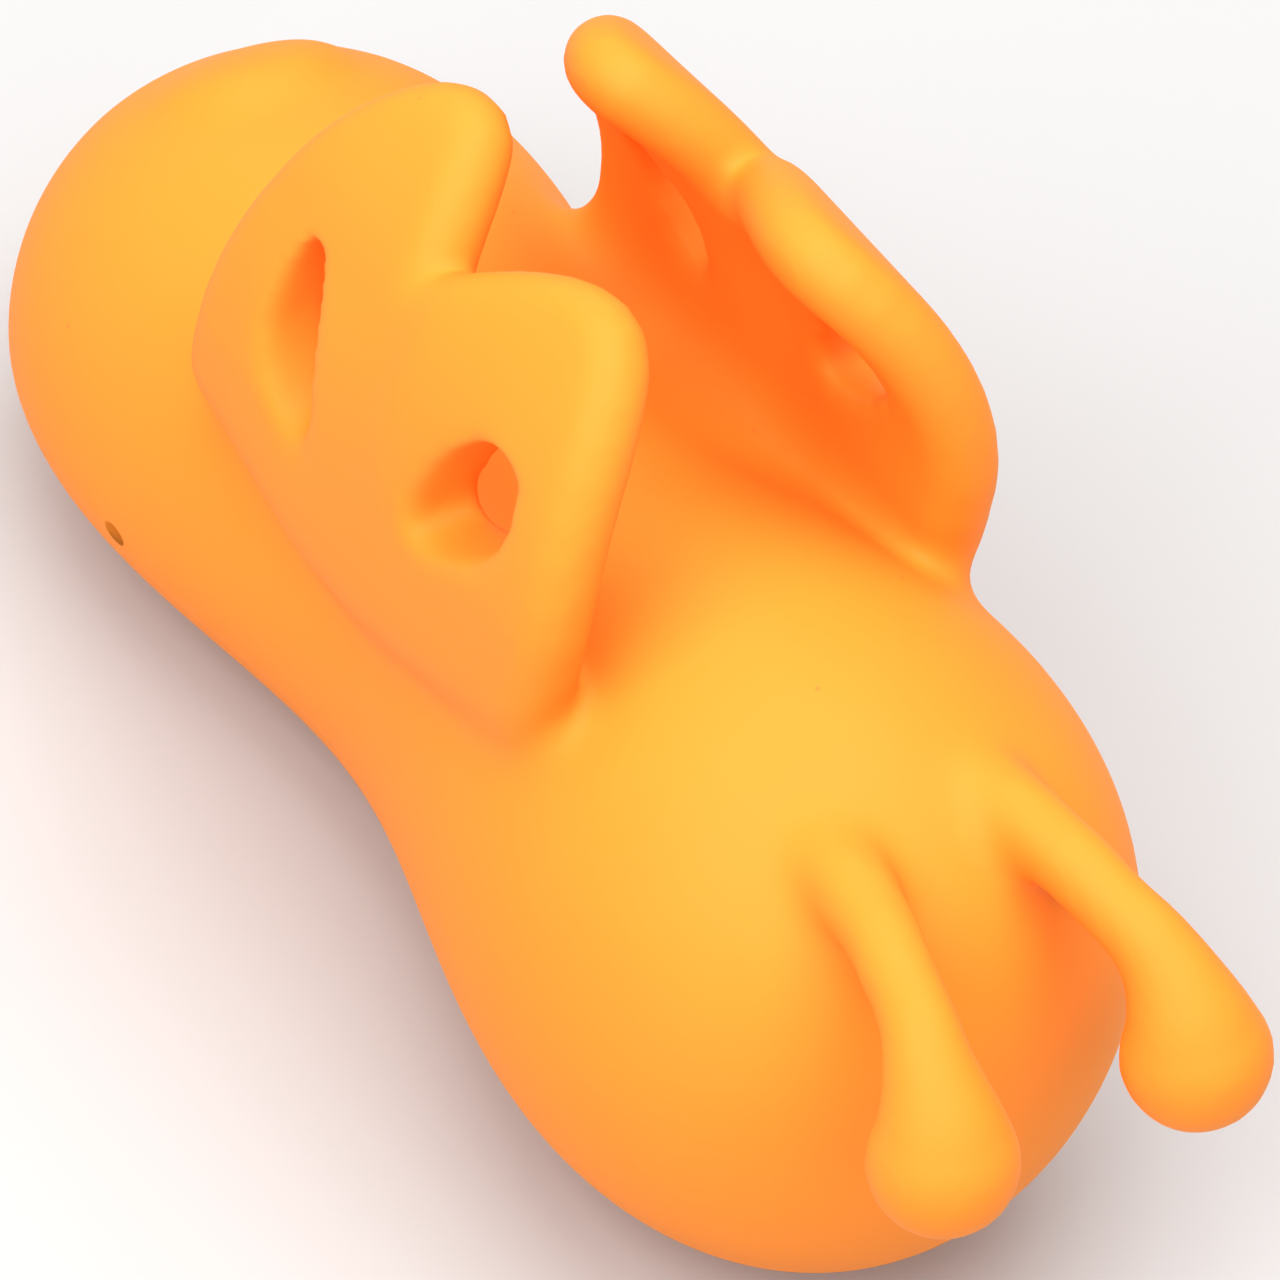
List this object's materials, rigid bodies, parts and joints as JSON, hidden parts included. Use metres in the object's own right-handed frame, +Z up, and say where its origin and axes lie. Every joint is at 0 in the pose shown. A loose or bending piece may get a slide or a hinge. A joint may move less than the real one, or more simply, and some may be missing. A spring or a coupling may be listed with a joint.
{
  "type": "butterfly silicone massager",
  "caption": "Palm-sized silicone massager shaped as a butterfly: peanut body, pierced upright wings, drooping bulb-tipped antennae and a push button at the tail.",
  "frame": {"origin": "on the surface that the belly rests on, under the middle of the whole object's box", "axes": "+X towards the nose and antennae, +Y to the object's left, +Z up; the body axis is tipped nose-up by 7.6 degrees so that both belly lobes rest on the ground"},
  "size_m": [0.0952, 0.0354, 0.0532],
  "materials": {
    "silicone": "matte",
    "white_plastic": "matte",
    "black_plastic": "satin",
    "black_rubber": "matte",
    "foam": "matte",
    "steel": "satin",
    "tungsten": "satin",
    "copper": "satin",
    "brass": "satin",
    "cell_film": "satin",
    "board_green": "satin",
    "clear_lens": "gloss",
    "red_lead": "satin",
    "black_lead": "satin"
  },
  "bodies": {
    "root": {"silicone_skin": "silicone", "core_shell_top": "white_plastic", "core_shell_bottom": "white_plastic", "motor_cradle": "white_plastic", "switch_housing": "black_plastic", "motor_end_cap": "black_plastic", "control_chip": "black_plastic", "charger_chip": "black_plastic", "charging_jack": "black_plastic", "core_gasket": "black_rubber", "motor_sleeve": "black_rubber", "board_inductor": "black_rubber", "battery_foam": "foam", "motor_can": "steel", "jack_pin": "brass", "battery_cell": "cell_film", "circuit_board": "board_green", "switch_board": "board_green", "status_led": "clear_lens", "motor_lead_red": "red_lead", "switch_lead_red": "red_lead", "battery_lead_red": "red_lead", "motor_lead_black": "black_lead", "switch_lead_black": "black_lead", "battery_lead_black": "black_lead"},
    "left_wing": {"wing_left": "silicone"},
    "right_wing": {"wing_right": "silicone"},
    "left_antenna": {"antenna_left": "silicone"},
    "right_antenna": {"antenna_right": "silicone"},
    "button": {"button_pad": "silicone", "button_plunger": "white_plastic", "switch_stem": "black_plastic"},
    "rotor": {"motor_rotor": "copper", "motor_shaft": "steel", "eccentric_weight": "tungsten"}
  },
  "joints": [
    {"name": "wing_left_flex", "type": "hinge", "parent": "root", "child": "left_wing", "pos_m": [-0.00701, 0.0124, 0.03091], "axis": [0.9912, 0, 0.1323], "range_deg": [-20, 6], "stiffness_Nm_per_rad": 0.027},
    {"name": "wing_right_flex", "type": "hinge", "parent": "root", "child": "right_wing", "pos_m": [-0.00701, -0.0124, 0.03091], "axis": [-0.9912, 0, -0.1323], "range_deg": [-20, 6], "stiffness_Nm_per_rad": 0.027},
    {"name": "antenna_left_flex", "type": "hinge", "parent": "root", "child": "left_antenna", "pos_m": [0.02822, 0.0054, 0.03531], "axis": [0, 1, 0], "range_deg": [-25, 20], "stiffness_Nm_per_rad": 0.003},
    {"name": "antenna_right_flex", "type": "hinge", "parent": "root", "child": "right_antenna", "pos_m": [0.02822, -0.0054, 0.03531], "axis": [0, 1, 0], "range_deg": [-25, 20], "stiffness_Nm_per_rad": 0.003},
    {"name": "button_press", "type": "slide", "parent": "root", "child": "button", "axis": [0.7145, 0, -0.6997], "range_m": [0, 0.0004], "stiffness_N_per_m": 800},
    {"name": "motor_spin", "type": "hinge", "parent": "root", "child": "rotor", "pos_m": [0.01209, 0, 0.01631], "axis": [0.9912, 0, 0.1323], "continuous": true}
  ]
}
